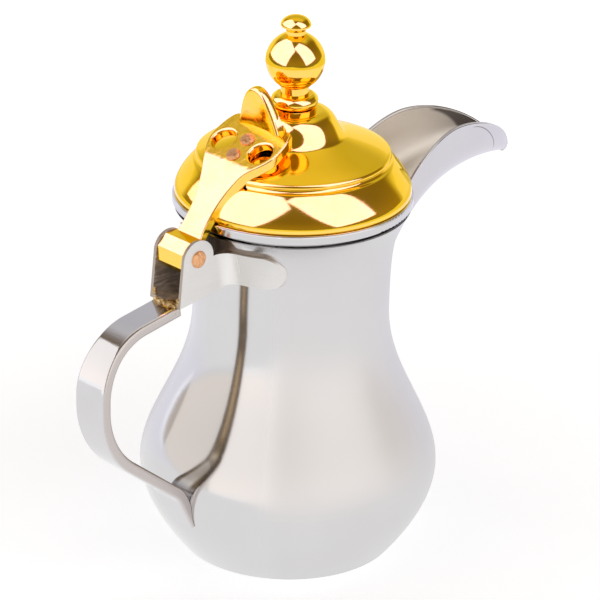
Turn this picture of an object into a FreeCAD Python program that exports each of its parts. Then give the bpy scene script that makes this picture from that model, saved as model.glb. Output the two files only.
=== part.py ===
# Coffee pot with a long beak spout, a strap handle and a hinged, turned lid.
# Millimetres. The origin is the centre of the base, +Z is up, the beak points
# along +X and the handle along -X.

import FreeCAD
import Part
import math
import os

from FreeCAD import Vector

# Body: a thin shell with a round belly, a narrow neck and a flared rim
base_radius = 53.0
belly_radius = 72.4
belly_height = 41.0
neck_radius = 47.3
neck_height = 122.0
rim_radius = 56.3
rim_height = 173.9
body_wall = 1.2
base_plate_thickness = 1.5

# Fullness of the body's curve on each side of its base, belly, neck and rim
base_sweep_out = 11.2
base_sweep_up = 14.0
belly_sweep_down = 13.0
belly_sweep_up = 23.0
neck_sweep_down = 35.0
neck_sweep_up = 28.0
rim_sweep_in = 7.7
rim_sweep_down = 9.9

# Beak spout: an open trough bent from sheet, reaching out from the neck
spout_sheet = 1.2
spout_root_half_width = 24.0
spout_bend_half_width = 22.0
spout_mid_half_width = 17.2
spout_lip_half_width = 11.5
spout_tip_half_width = 4.0
spout_root_set_in = 12.0
spout_bend_reach = 15.7
spout_mid_reach = 52.7
spout_lip_reach = 82.0
spout_tip_reach = 97.0
spout_root_below_rim = 62.0
spout_bend_below_rim = 24.5
spout_mid_below_rim = 7.9
spout_lip_below_rim = 6.9
spout_tip_below_rim = 9.4
spout_throat_reach = 8.7
spout_throat_above_rim = 3.1
spout_crest_reach = 46.0
spout_crest_above_rim = 20.4
spout_back_lead = 13.0
spout_crest_lead = 24.0
spout_tip_lead = 12.5

# Pour window in the neck behind the spout
pour_window_half_width = 13.0
pour_window_low_below_rim = 33.9
pour_window_high_below_rim = 10.9

# Hinge bracket, folded from sheet, and the pin in its ears
bracket_sheet = 1.7
cheek_spacing = 17.6
ear_radius = 9.2
pin_out_from_rim = 13.2
pin_below_rim = 6.1
bracket_top_below_rim = 6.7
bracket_neck_below_rim = 23.6
bracket_foot_below_rim = 28.2
bracket_foot_out_from_rim = 24.6
wing_reach = 34.5
wing_corner_radius = 7.0
bracket_bend_radius = 8.0
pin_radius = 2.5
pin_head_radius = 4.2
pin_head_height = 1.5

# Handle: one bent strap
strap_root_width = 16.6
strap_grip_width = 20.0
strap_toe_width = 18.4
strap_grip_height = 108.0
strap_thickness = 5.6
strap_edge_radius = 1.7
strap_lap = 2.0
handle_reach = 127.6
strap_elbow_height = 84.0
strap_run_fall = 7.6
strap_heel_out_from_belly = 7.6
strap_heel_above_belly = 5.0
strap_toe_in_from_belly = 1.4
strap_toe_below_belly = 13.0
strap_upper_bend_share = 0.52
strap_lower_bend_share = 0.40
strap_heel_bend = 14.0

# Lid pan: a pressed steel dish with a band round its edge
band_radius = 57.4
band_height = 4.6
band_sheet = 2.4
band_edge_radius = 1.0
lid_groove = 2.0
seat_ring_inset = 2.5
dish_radius = 44.5
dish_depth = 10.0
pan_sheet = 1.2

# Lid dome: heights are above the dome's lower edge
dome_sheet = 1.2
dome_edge_radius = 56.5
ovolo_top_radius = 47.3
ovolo_height = 14.3
ovolo_foot_lean = 1.3
ovolo_foot_rise = 4.8
ovolo_crown_run = 4.2
ovolo_crown_fall = 4.3
ridge_height = 2.2
ridge_stand = 0.8
shoulder_radius = 45.6
shoulder_height = 19.3
shoulder_run = 6.9
shoulder_rise = 2.6
waist_radius = 25.0
waist_height = 28.4
waist_run = 4.0
waist_rise = 2.9
bell_run = 6.2
dome_top_radius = 12.5
dome_top_height = 41.4

# Finial: a collar, a ball and a cap threaded on one stud
stud_radius = 2.0
collar_radius = 11.2
collar_height = 8.0
collar_flange_radius = 10.5
collar_flange_height = 1.6
collar_ring_foot = 8.5
finial_neck_radius = 6.8
finial_neck_height = 3.9
ball_radius = 14.1
cap_neck_radius = 4.7
cap_neck_height = 3.4
cap_radius = 7.3
cap_height = 5.6
cap_brim_height = 1.4
washer_radius = 8.0
washer_thickness = 1.0
nut_flats = 10.0
nut_height = 4.0
nut_sides = 6
stud_tail = 2.0
stud_top_cover = 2.8

# Lid lever: a casting with a knuckle, an arm, a pierced paddle and a thumb tab
lever_thickness = 4.8
lever_edge_radius = 0.7
knuckle_radius = 8.4
knuckle_facets = 8
arm_bend_in_from_dome_edge = 11.5
arm_bend_above_lid = 24.8
arm_bend_radius = 18.0
arm_waist_in_from_pin = 9.0
arm_waist_half_width = 7.2
arm_spread = 13.9
paddle_radius_from_axis = 31.0
paddle_half_width = 21.5
paddle_gather = 10.0
paddle_nose_run = 5.0
crease_in_from_waist = 6.2
crease_above_lid = 39.5
crease_half_width = 16.7
crease_corner_lift = 3.4
paddle_hole_radius = 6.0
paddle_hole_rim = 1.1
paddle_hole_offset = 12.5
paddle_hole_setback = 2.5
tab_half_width = 13.2
tab_height = 20.8
tab_swell = 7.7
tab_tip_run = 4.8
tab_tip_fall = 5.8
tab_thickness = 3.4
tab_tip_half_width = 2.2
tab_lean_degrees = 8.0

# Rivets that hold the lever to the dome
rivet_in_from_paddle = 3.3
rivet_spacing = 9.0
rivet_radius = 2.0
rivet_head_radius = 3.6
rivet_head_height = 2.0
rivet_boss_radius = 4.5
rivet_tail = 1.4

# Fits between pieces
running_gap = 0.05
weld_gap = 0.1
seat_gap = 0.3
side_gap = 0.3
lid_swing_gap = 0.8

# Places that follow from the sizes above
lid_plane = rim_height + lid_groove + band_height
dish_bottom = rim_height - dish_depth
dome_top = lid_plane + dome_top_height
cheek_inner = cheek_spacing / 2
cheek_outer = cheek_inner + bracket_sheet
lever_root_half_width = cheek_inner - side_gap
pin_x = -(rim_radius + pin_out_from_rim)
pin_z = rim_height - pin_below_rim
bracket_foot_x = -(rim_radius + bracket_foot_out_from_rim)
bracket_foot_z = rim_height - bracket_foot_below_rim
bracket_neck_z = rim_height - bracket_neck_below_rim
bracket_top_z = rim_height - bracket_top_below_rim
arm_bend_x = -(dome_edge_radius - arm_bend_in_from_dome_edge)
arm_bend_z = lid_plane + arm_bend_above_lid
arm_waist_x = pin_x + arm_waist_in_from_pin
paddle_x = -paddle_radius_from_axis
crease_x = -(waist_radius - crease_in_from_waist)
crease_z = lid_plane + crease_above_lid
rivet_x = paddle_x - rivet_in_from_paddle
spout_tip_x = neck_radius + spout_tip_reach
spout_tip_z = rim_height - spout_tip_below_rim
spout_crest_x = neck_radius + spout_crest_reach
spout_crest_z = rim_height + spout_crest_above_rim
full_turn = 360
quarter_turn = full_turn / 4
clear_height = 2 * rim_height

axis_point = Vector(0, 0, 0)
axis_up = Vector(0, 0, 1)


def point(x, z):
    return Vector(x, 0, z)


def line(a, b):
    return Part.makeLine(a, b)


def curve(*poles):
    bezier = Part.BezierCurve()
    bezier.setPoles(list(poles))
    return bezier.toShape()


def arc(a, middle, b):
    return Part.Arc(a, middle, b).toShape()


def face_of(edges):
    return Part.Face(Part.Wire(Part.__sortEdges__(edges)))


def polygon_face(points):
    return Part.Face(Part.makePolygon(list(points) + [points[0]]))


def revolve(face):
    return face.revolve(axis_point, axis_up, full_turn)


def across(face, half_width):
    """Extrude a face that lies in the XZ plane to both sides of it."""
    moved = face.translated(Vector(0, -half_width, 0))
    return moved.extrude(Vector(0, 2 * half_width, 0))


def rod_y(x, z, radius, half_length):
    start = Vector(x, -half_length, z)
    return Part.makeCylinder(radius, 2 * half_length, start, Vector(0, 1, 0))


def write(name, shape):
    shape.exportStep(os.path.join("parts", name + ".step"))


def headed_pin(radius, depth, head_radius, head_height):
    """A shank below z = 0 with a domed head above it, about the Z axis."""
    tail = point(radius, -depth)
    neck = point(radius, 0)
    brim = point(head_radius, 0)
    crown = point(0, head_height)
    edges = [line(point(0, -depth), tail), line(tail, neck), line(neck, brim)]
    edges.append(curve(brim, point(head_radius, head_height), crown))
    edges.append(line(crown, point(0, -depth)))
    return revolve(face_of(edges))


# Bent strips

def shifted_corners(points, shift):
    """Corners of a polyline moved to the left of its travel by shift."""
    runs = []
    for a, b in zip(points[:-1], points[1:]):
        along = (b - a).normalize()
        left = Vector(-along.z, 0, along.x)
        runs.append((a + left * shift, b + left * shift, along))
    corners = [runs[0][0]]
    for before, after in zip(runs[:-1], runs[1:]):
        gap = after[0] - before[0]
        turn = before[2].x * after[2].z - before[2].z * after[2].x
        reach = (gap.x * after[2].z - gap.z * after[2].x) / turn
        corners.append(before[0] + before[2] * reach)
    corners.append(runs[-1][1])
    return corners


def rounded_path(points, radii, shift):
    """Lines and tangent arcs along a polyline, moved to the left by shift."""
    corners = shifted_corners(points, shift)
    edges = []
    start = corners[0]
    for index, radius in enumerate(radii):
        before = corners[index + 1] - corners[index]
        after = corners[index + 2] - corners[index + 1]
        into = Vector(before).normalize()
        out = Vector(after).normalize()
        turn_sine = into.x * out.z - into.z * out.x
        bend = radius - shift if turn_sine > 0 else radius + shift
        half_turn = math.acos(max(-1.0, min(1.0, into.dot(out)))) / 2
        tangent = bend * math.tan(half_turn)
        corner = corners[index + 1]
        first = corner - into * tangent
        last = corner + out * tangent
        inward = (out - into).normalize()
        middle = corner + inward * (bend / math.cos(half_turn) - bend)
        edges.append(line(start, first))
        edges.append(arc(first, middle, last))
        start = last
    edges.append(line(start, corners[-1]))
    return edges


def strip_face(points, radii, shift):
    """A bent strip between a path and the same path moved aside."""
    near = rounded_path(points, radii, 0.0)
    far = rounded_path(points, radii, shift)
    near_start = near[0].firstVertex(True).Point
    far_start = far[0].firstVertex(True).Point
    near_end = near[-1].lastVertex(True).Point
    far_end = far[-1].lastVertex(True).Point
    ends = [line(near_start, far_start), line(near_end, far_end)]
    return face_of(near + far + ends)


# Body shell and base plate

def body_outline(grow):
    """Outer curve of the body from base to rim, moved outwards by grow."""
    base = point(base_radius + grow, 0)
    belly = point(belly_radius + grow, belly_height)
    neck = point(neck_radius + grow, neck_height)
    rim = point(rim_radius + grow, rim_height)
    lower = curve(base, base + point(base_sweep_out, base_sweep_up),
                  belly - point(0, belly_sweep_down), belly)
    middle = curve(belly, belly + point(0, belly_sweep_up),
                   neck - point(0, neck_sweep_down), neck)
    upper = curve(neck, neck + point(0, neck_sweep_up),
                  rim - point(rim_sweep_in, rim_sweep_down), rim)
    return base, rim, [lower, middle, upper]


def body_solid(grow):
    base, rim, edges = body_outline(grow)
    low = point(0, base.z)
    high = point(0, rim.z)
    closing = [line(low, base), line(rim, high), line(high, low)]
    return revolve(face_of(edges + closing))


def make_body_shell():
    shell = body_solid(0).cut(body_solid(-body_wall))
    low_z = rim_height - pour_window_low_below_rim
    high_z = rim_height - pour_window_high_below_rim
    arch_z = low_z + pour_window_half_width
    high_left = Vector(0, -pour_window_half_width, high_z)
    high_right = Vector(0, pour_window_half_width, high_z)
    low_left = Vector(0, -pour_window_half_width, arch_z)
    low_right = Vector(0, pour_window_half_width, arch_z)
    lowest = Vector(0, 0, low_z)
    edges = [line(low_left, high_left), line(high_left, high_right)]
    edges += [line(high_right, low_right), arc(low_right, lowest, low_left)]
    window = face_of(edges).extrude(Vector(rim_radius, 0, 0))
    return shell.cut(window)


def make_base_plate():
    radius = base_radius - body_wall - running_gap
    return Part.makeCylinder(radius, base_plate_thickness)


# Beak spout

def spout_section(x, half_width, low_z):
    """A trough's cross section: straight walls on a round bottom."""
    turn_z = low_z + half_width
    left_high = Vector(x, -half_width, spout_crest_z + half_width)
    right_high = Vector(x, half_width, spout_crest_z + half_width)
    left_low = Vector(x, -half_width, turn_z)
    right_low = Vector(x, half_width, turn_z)
    lowest = Vector(x, 0, low_z)
    edges = [line(left_high, left_low), arc(left_low, lowest, right_low)]
    edges += [line(right_low, right_high), line(right_high, left_high)]
    return Part.Wire(edges)


def spout_trough(inset):
    stations = [(-spout_root_set_in, spout_root_half_width, spout_root_below_rim)]
    stations.append((spout_bend_reach, spout_bend_half_width, spout_bend_below_rim))
    stations.append((spout_mid_reach, spout_mid_half_width, spout_mid_below_rim))
    stations.append((spout_lip_reach, spout_lip_half_width, spout_lip_below_rim))
    stations.append((spout_tip_reach, spout_tip_half_width, spout_tip_below_rim))
    sections = []
    for reach, half_width, below_rim in stations:
        low_z = rim_height - below_rim + inset
        sections.append(spout_section(neck_radius + reach, half_width - inset, low_z))
    return Part.makeLoft(sections, True, False)


def spout_brow():
    """Everything above the spout's two upper edges."""
    throat = point(neck_radius + spout_throat_reach, rim_height + spout_throat_above_rim)
    crest = point(spout_crest_x, spout_crest_z)
    tip = point(spout_tip_x, spout_tip_z + spout_sheet)
    rise = (spout_crest_x - throat.x) / 4
    back = curve(throat, throat + point(rise, rise), crest - point(spout_back_lead, 0), crest)
    front = curve(crest, crest + point(spout_crest_lead, 0), tip + point(0, spout_tip_lead), tip)
    inner = point(0, throat.z)
    beyond = point(spout_tip_x + spout_crest_lead, tip.z)
    above_beyond = point(beyond.x, clear_height)
    above_inner = point(0, clear_height)
    edges = [back, front, line(tip, beyond), line(beyond, above_beyond)]
    edges += [line(above_beyond, above_inner), line(above_inner, inner), line(inner, throat)]
    return across(face_of(edges), 2 * spout_root_half_width)


def make_spout():
    trough = spout_trough(0).cut(spout_trough(spout_sheet))
    trough = trough.cut(spout_brow())
    trough = trough.cut(body_solid(weld_gap))
    swing_radius = band_radius + lid_swing_gap
    swing = Part.makeCylinder(swing_radius, clear_height, point(0, rim_height))
    return trough.cut(swing)


# Hinge bracket and pin

def bracket_lower_edge(x):
    slope = (bracket_neck_z - bracket_foot_z) / (-neck_radius - bracket_foot_x)
    return bracket_foot_z + slope * (x - bracket_foot_x)


def bend_section(z, side):
    """Plan of the rounded bend between a cheek and its wing, at one height."""
    girth = body_solid(weld_gap + bracket_sheet).slice(axis_up, z)[0]
    wing_radius = Part.Vertex(Vector(0, 0, z)).distToShape(girth)[0]
    reach = wing_radius + bracket_bend_radius
    offset = side * (cheek_outer + bracket_bend_radius)
    centre = Vector(-math.sqrt(reach ** 2 - offset ** 2), offset, 0)
    half_sheet = bracket_sheet / 2
    on_cheek = Vector(centre.x, side * cheek_outer, 0)
    in_cheek = Vector(centre.x, side * (cheek_outer - half_sheet), 0)
    on_wing = centre * (wing_radius / reach)
    in_wing = centre * ((wing_radius - half_sheet) / reach)
    in_corner = Vector(in_wing.x, in_cheek.y, 0)
    towards = ((on_cheek - centre) + (on_wing - centre)).normalize()
    middle = centre + towards * bracket_bend_radius
    edges = [arc(on_cheek, middle, on_wing), line(on_wing, in_wing), line(in_wing, in_corner)]
    edges += [line(in_corner, in_cheek), line(in_cheek, on_cheek)]
    return Part.Wire(edges).translated(Vector(0, 0, z))


def make_bracket():
    root_x = -neck_radius + cheek_spacing
    outline = [point(pin_x - ear_radius, pin_z), point(bracket_foot_x, bracket_foot_z)]
    outline.append(point(root_x, bracket_lower_edge(root_x)))
    outline.append(point(root_x, bracket_top_z))
    outline.append(point(pin_x, bracket_top_z))
    side = polygon_face(outline)
    block = across(side, cheek_outer)
    block = block.fuse(rod_y(pin_x, pin_z, ear_radius, cheek_outer))
    floor_rise = point(0, bracket_sheet)
    clear_low = point(bracket_foot_x - cheek_spacing, bracket_lower_edge(bracket_foot_x - cheek_spacing))
    clear_root = point(root_x, bracket_lower_edge(root_x))
    clear_high = pin_z + 2 * ear_radius
    channel = [clear_low + floor_rise, clear_root + floor_rise]
    channel += [point(root_x, clear_high), point(clear_low.x, clear_high)]
    folded = block.cut(across(polygon_face(channel), cheek_inner))

    wing_low = bracket_lower_edge(-neck_radius)
    wing_height = bracket_top_z - wing_low
    blank = Part.makeBox(2 * belly_radius, 2 * wing_reach, wing_height)
    blank.translate(Vector(-2 * belly_radius, -wing_reach, wing_low))
    corners = [edge for edge in blank.Edges if edge.BoundBox.XLength > belly_radius]
    blank = blank.makeFillet(wing_corner_radius, corners)
    wrap = body_solid(weld_gap + bracket_sheet).common(blank)
    gap = Part.makeBox(2 * belly_radius, cheek_spacing, clear_height)
    gap.translate(Vector(-2 * belly_radius, -cheek_inner, 0))
    wings = wrap.cut(gap)

    bracket = folded.fuse(wings)
    for side in (-1, 1):
        bend = Part.makeLoft([bend_section(wing_low, side), bend_section(bracket_top_z, side)], True, True)
        bracket = bracket.fuse(bend)
    bracket = bracket.cut(body_solid(weld_gap))
    bracket = bracket.cut(rod_y(pin_x, pin_z, pin_radius + running_gap, 2 * cheek_outer))
    return bracket.removeSplitter()


def make_pin():
    pin = None
    for side in (-1, 1):
        half = headed_pin(pin_radius, cheek_outer, pin_head_radius, pin_head_height)
        half.rotate(axis_point, Vector(1, 0, 0), -side * quarter_turn)
        half.translate(Vector(pin_x, side * cheek_outer, pin_z))
        pin = half if pin is None else pin.fuse(half)
    return pin.removeSplitter()


# Handle strap

def strap_taper(root_z, toe_z):
    """Outline of the strap seen from behind: widest at the grip."""
    root = Vector(0, strap_root_width / 2, root_z)
    grip = Vector(0, strap_grip_width / 2, strap_grip_height)
    toe = Vector(0, strap_toe_width / 2, toe_z)
    upper_lead = Vector(0, 0, (root_z - strap_grip_height) / 2)
    lower_lead = Vector(0, 0, (strap_grip_height - toe_z) / 2)
    flank = [curve(root, root - upper_lead, grip + upper_lead, grip)]
    flank.append(curve(grip, grip - lower_lead, toe + lower_lead, toe))
    mirrored = [edge.mirror(axis_point, Vector(0, 1, 0)) for edge in flank]
    ends = [line(root, Vector(0, -root.y, root_z)), line(toe, Vector(0, -toe.y, toe_z))]
    return face_of(flank + mirrored + ends).extrude(Vector(-2 * handle_reach, 0, 0))


def bend_radius(before, corner, after, tangent):
    """Radius of the arc that leaves both legs of a corner at a tangent length."""
    turn = (corner - before).getAngle(after - corner)
    return tangent / math.tan(turn / 2)


def make_strap():
    start_x = bracket_foot_x + strap_lap
    outer_x = -handle_reach
    heel_x = -(belly_radius + strap_heel_out_from_belly)
    toe_x = -(belly_radius - strap_toe_in_from_belly)
    route = [point(start_x, bracket_lower_edge(start_x))]
    route.append(point(outer_x, bracket_foot_z - strap_run_fall))
    route.append(point(outer_x, strap_elbow_height))
    route.append(point(heel_x, belly_height + strap_heel_above_belly))
    route.append(point(toe_x, belly_height - strap_toe_below_belly))
    upright = route[1].z - route[2].z
    upper_bend = bend_radius(route[0], route[1], route[2], strap_upper_bend_share * upright)
    lower_bend = bend_radius(route[1], route[2], route[3], strap_lower_bend_share * upright)
    bends = [upper_bend, lower_bend, strap_heel_bend]
    strap = across(strip_face(route, bends, strap_thickness), strap_grip_width)
    strap = strap.common(strap_taper(route[0].z, route[-1].z))
    rims = []
    for edge in strap.Edges:
        beside = edge.BoundBox.YMin > 0 or edge.BoundBox.YMax < 0
        if beside and edge.Length > strap_thickness + strap_edge_radius:
            rims.append(edge)
    strap = strap.makeFillet(strap_edge_radius, rims)
    return strap.cut(body_solid(weld_gap))


# Lid pan and dome

def make_pan():
    seat_radius = rim_radius - seat_ring_inset
    seat_z = rim_height + seat_gap
    band_low = lid_plane - band_height
    inner_radius = dish_radius - pan_sheet
    sheet_z = lid_plane - pan_sheet
    outline = [point(0, dish_bottom), point(dish_radius, dish_bottom), point(dish_radius, sheet_z)]
    outline += [point(seat_radius - pan_sheet, sheet_z), point(seat_radius - pan_sheet, seat_z)]
    outline += [point(seat_radius, seat_z), point(seat_radius, sheet_z)]
    outline += [point(band_radius - band_sheet, sheet_z), point(band_radius - band_sheet, band_low)]
    outline += [point(band_radius, band_low), point(band_radius, lid_plane)]
    outline += [point(inner_radius, lid_plane), point(inner_radius, dish_bottom + pan_sheet)]
    outline.append(point(0, dish_bottom + pan_sheet))
    pan = revolve(polygon_face(outline))
    band_edges = []
    for edge in pan.Edges:
        if edge.BoundBox.XMax > band_radius - weld_gap and edge.BoundBox.ZLength < weld_gap:
            band_edges.append(edge)
    pan = pan.makeFillet(band_edge_radius, band_edges)
    return bored(pan)


def dome_solid(inset, drop):
    """The dome's outer form, drawn in by inset and lowered by drop."""
    def at(radius, height):
        return point(radius - inset, lid_plane + height - drop)

    ridge_foot = ovolo_top_radius - ridge_stand
    foot = at(dome_edge_radius, 0)
    ovolo_top = at(ovolo_top_radius, ovolo_height)
    ridge_low = at(ridge_foot, ovolo_height)
    ridge_out = at(ridge_foot + ridge_stand, ovolo_height + ridge_height / 2)
    ridge_high = at(ridge_foot, ovolo_height + ridge_height)
    bead_low = at(shoulder_radius, ovolo_height + ridge_height)
    bead_middle_z = (ovolo_height + ridge_height + shoulder_height) / 2
    bead_out = at(shoulder_radius + ridge_stand, bead_middle_z)
    shoulder = at(shoulder_radius, shoulder_height)
    waist = at(waist_radius, waist_height)
    top = at(dome_top_radius, dome_top_height)
    foot_lead = point(-ovolo_foot_lean, ovolo_foot_rise)
    crown_lead = point(ovolo_crown_run, -ovolo_crown_fall)
    shoulder_lead = point(-shoulder_run, shoulder_rise)
    waist_lead = point(-waist_run, waist_rise)
    edges = [curve(foot, foot + foot_lead, ovolo_top + crown_lead, ovolo_top)]
    edges += [line(ovolo_top, ridge_low), arc(ridge_low, ridge_out, ridge_high)]
    edges += [line(ridge_high, bead_low), arc(bead_low, bead_out, shoulder)]
    edges.append(curve(shoulder, shoulder + shoulder_lead, waist - waist_lead, waist))
    bell = top + point(bell_run, 0)
    edges.append(curve(waist, waist + waist_lead, bell, top))
    low = point(0, foot.z)
    high = point(0, top.z)
    edges += [line(top, high), line(high, low), line(low, foot)]
    return revolve(face_of(edges))


def make_dome():
    dome = dome_solid(0, 0).cut(dome_solid(dome_sheet, dome_sheet))
    dome = bored(dome)
    for hole in rivet_rods(rivet_radius + running_gap):
        dome = dome.cut(hole)
    return dome


# Finial

collar_low = dome_top
collar_top = collar_low + collar_height
ball_drop = math.sqrt(ball_radius ** 2 - finial_neck_radius ** 2)
ball_z = collar_top + finial_neck_height + ball_drop
ball_top = ball_z + math.sqrt(ball_radius ** 2 - cap_neck_radius ** 2)
cap_low = ball_top + cap_neck_height
stud_low = dish_bottom - washer_thickness - nut_height - stud_tail
stud_high = cap_low + cap_height - stud_top_cover


def bored(solid):
    bore = Part.makeCylinder(stud_radius + running_gap, stud_high + running_gap)
    return solid.cut(bore)


def make_collar():
    flange_z = collar_low + collar_flange_height
    flange_low = point(collar_flange_radius, collar_low)
    flange_high = point(collar_flange_radius, flange_z)
    ring_low = point(collar_ring_foot, flange_z)
    ring_middle = point(collar_radius, (flange_z + collar_top) / 2)
    ring_high = point(collar_ring_foot, collar_top)
    neck_low = point(finial_neck_radius, collar_top)
    neck_high = point(finial_neck_radius, ball_z - ball_drop)
    low = point(0, collar_low)
    high = point(0, neck_high.z)
    edges = [line(low, flange_low), line(flange_low, flange_high), line(flange_high, ring_low)]
    edges += [arc(ring_low, ring_middle, ring_high), line(ring_high, neck_low)]
    edges += [line(neck_low, neck_high), line(neck_high, high), line(high, low)]
    return bored(revolve(face_of(edges)))


def make_ball():
    ball = Part.makeSphere(ball_radius, Vector(0, 0, ball_z))
    slice_box = Part.makeBox(4 * ball_radius, 4 * ball_radius, ball_top - ball_z + ball_drop)
    slice_box.translate(Vector(-2 * ball_radius, -2 * ball_radius, ball_z - ball_drop))
    return bored(ball.common(slice_box))


def make_cap():
    cap_top = cap_low + cap_height
    rim_z = cap_low + cap_brim_height
    low = point(0, ball_top)
    edges = [line(low, point(cap_neck_radius, ball_top))]
    edges.append(line(point(cap_neck_radius, ball_top), point(cap_neck_radius, cap_low)))
    neck_high = point(cap_neck_radius, cap_low)
    brim = point(cap_radius, rim_z)
    edges.append(curve(neck_high, point(cap_radius, cap_low), brim))
    crown_lead = point(0, (cap_top - rim_z) / 2)
    edges.append(curve(brim, brim + crown_lead, point(cap_radius / 2, cap_top), point(0, cap_top)))
    edges.append(line(point(0, cap_top), low))
    return bored(revolve(face_of(edges)))


def make_stud():
    return Part.makeCylinder(stud_radius, stud_high - stud_low, Vector(0, 0, stud_low))


def make_washer():
    low = dish_bottom - washer_thickness
    ring = Part.makeCylinder(washer_radius, washer_thickness, Vector(0, 0, low))
    return bored(ring)


def make_nut():
    low = dish_bottom - washer_thickness - nut_height
    corner = nut_flats / 2 / math.cos(math.pi / nut_sides)
    corners = []
    for index in range(nut_sides):
        angle = index * 2 * math.pi / nut_sides
        corners.append(Vector(corner * math.cos(angle), corner * math.sin(angle), low))
    return bored(polygon_face(corners).extrude(Vector(0, 0, nut_height)))


# Lid lever and its rivets

paddle_slope = math.atan2(crease_z - arm_bend_z, crease_x - arm_bend_x)
paddle_up = Vector(-math.sin(paddle_slope), 0, math.cos(paddle_slope))


def paddle_point(x):
    """Point on the paddle's upper face, on the centre line."""
    return point(x, crease_z + (x - crease_x) * math.tan(paddle_slope))


def rivet_seats():
    return [paddle_point(rivet_x - rivet_spacing / 2), paddle_point(rivet_x + rivet_spacing / 2)]


def rivet_depth(seat):
    """Distance from the paddle's face down to the inside of the dome."""
    probe = Part.makeLine(seat, seat - paddle_up * dome_top_height)
    inside = dome_solid(dome_sheet, dome_sheet).common(probe)
    return Part.Vertex(seat).distToShape(inside)[0]


def rivet_rods(radius):
    rods = []
    for seat in rivet_seats():
        depth = rivet_depth(seat) + rivet_tail
        rods.append(Part.makeCylinder(radius, depth, seat - paddle_up * depth, paddle_up))
    return rods


def make_rivets():
    rivets = []
    for seat in rivet_seats():
        depth = rivet_depth(seat) + rivet_tail
        rivet = headed_pin(rivet_radius, depth, rivet_head_radius, rivet_head_height)
        rivet.rotate(axis_point, Vector(0, 1, 0), -math.degrees(paddle_slope))
        rivet.translate(seat)
        rivets.append(rivet)
    return Part.makeCompound(rivets)


def lever_plan():
    """Plan outline of the arm and paddle."""
    root_x = pin_x - knuckle_radius
    low = [Vector(root_x, lever_root_half_width, 0)]
    low.append(Vector(pin_x, lever_root_half_width, 0))
    waist = Vector(arm_waist_x, arm_waist_half_width, 0)
    wide = Vector(paddle_x, paddle_half_width, 0)
    corner = Vector(crease_x, crease_half_width, 0)
    waist_lead = Vector((arm_waist_x - pin_x) / 2, 0, 0)
    flank = [line(low[0], low[1])]
    flank.append(curve(low[1], low[1] + waist_lead, waist - waist_lead, waist))
    spread = Vector(arm_spread, 0, 0)
    gather = Vector(paddle_gather, 0, 0)
    flank.append(curve(waist, waist + spread, wide - gather, wide))
    nose = Vector(paddle_nose_run, 0, 0)
    corner_lift = Vector(0, crease_corner_lift, 0)
    flank.append(curve(wide, wide + nose, corner + corner_lift, corner))
    mirrored = [edge.mirror(Vector(0, 0, 0), Vector(0, 1, 0)) for edge in flank]
    ends = [line(low[0], Vector(root_x, -lever_root_half_width, 0))]
    ends.append(line(corner, Vector(crease_x, -crease_half_width, 0)))
    return face_of(flank + mirrored + ends).extrude(Vector(0, 0, clear_height))


def make_tab():
    """Thumb tab: a pointed leaf that leans back over the paddle."""
    base_left = Vector(0, -tab_half_width, 0)
    base_right = Vector(0, tab_half_width, 0)
    tip_left = Vector(0, -tab_tip_half_width, tab_height - tab_tip_half_width)
    tip_right = Vector(0, tab_tip_half_width, tab_height - tab_tip_half_width)
    swell = Vector(0, 0, tab_swell)
    lead = Vector(0, tab_tip_run, -tab_tip_fall)
    lead_left = Vector(0, -tab_tip_run, -tab_tip_fall)
    edges = [curve(base_right, base_right + swell, tip_right + lead, tip_right)]
    edges.append(arc(tip_right, Vector(0, 0, tab_height), tip_left))
    edges.append(curve(tip_left, tip_left + lead_left, base_left + swell, base_left))
    edges.append(line(base_left, base_right))
    leaf = face_of(edges).extrude(Vector(-tab_thickness, 0, 0))
    leaf.rotate(axis_point, Vector(0, 1, 0), -tab_lean_degrees)
    sink = lever_thickness / 2
    leaf.translate(point(crease_x, crease_z - sink))
    return leaf


def make_lever():
    start = point(pin_x, pin_z + knuckle_radius / 2)
    route = [start, point(arm_bend_x, arm_bend_z), point(crease_x, crease_z)]
    strip = across(strip_face(route, [arm_bend_radius], -lever_thickness), 2 * paddle_half_width)
    lever = strip.common(lever_plan())
    flanks = []
    for edge in lever.Edges:
        beside = edge.BoundBox.YMin > 0 or edge.BoundBox.YMax < 0
        if beside and edge.Length > lever_thickness + lever_edge_radius:
            flanks.append(edge)
    lever = lever.makeFillet(lever_edge_radius, flanks)
    for side in (-1, 1):
        centre = paddle_point(paddle_x - paddle_hole_setback)
        centre += Vector(0, side * paddle_hole_offset, 0)
        depth = 2 * lever_thickness
        hole = Part.makeCylinder(paddle_hole_radius, 2 * depth, centre - paddle_up * depth, paddle_up)
        lever = lever.cut(hole)
    rims = [edge for edge in lever.Edges if edge.isClosed()]
    lever = lever.makeFillet(paddle_hole_rim, rims)

    knuckle = []
    corner = knuckle_radius / math.cos(math.pi / knuckle_facets)
    for index in range(knuckle_facets):
        angle = (index + 0.5) * 2 * math.pi / knuckle_facets
        knuckle.append(point(pin_x + corner * math.cos(angle), pin_z + corner * math.sin(angle)))
    lever = lever.fuse(across(polygon_face(knuckle), lever_root_half_width))
    lever = lever.fuse(make_tab())

    for seat in rivet_seats():
        depth = rivet_depth(seat)
        boss_low = seat - paddle_up * depth
        boss = Part.makeCylinder(rivet_boss_radius, depth - lever_thickness / 2, boss_low, paddle_up)
        lever = lever.fuse(boss)
    for drop in (-weld_gap, 0, weld_gap):
        lever = lever.cut(dome_solid(-weld_gap, drop))
    for hole in rivet_rods(rivet_radius + running_gap):
        lever = lever.cut(hole)
    lever = lever.cut(rod_y(pin_x, pin_z, pin_radius + running_gap, 2 * cheek_outer))
    return lever.removeSplitter()


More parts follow.
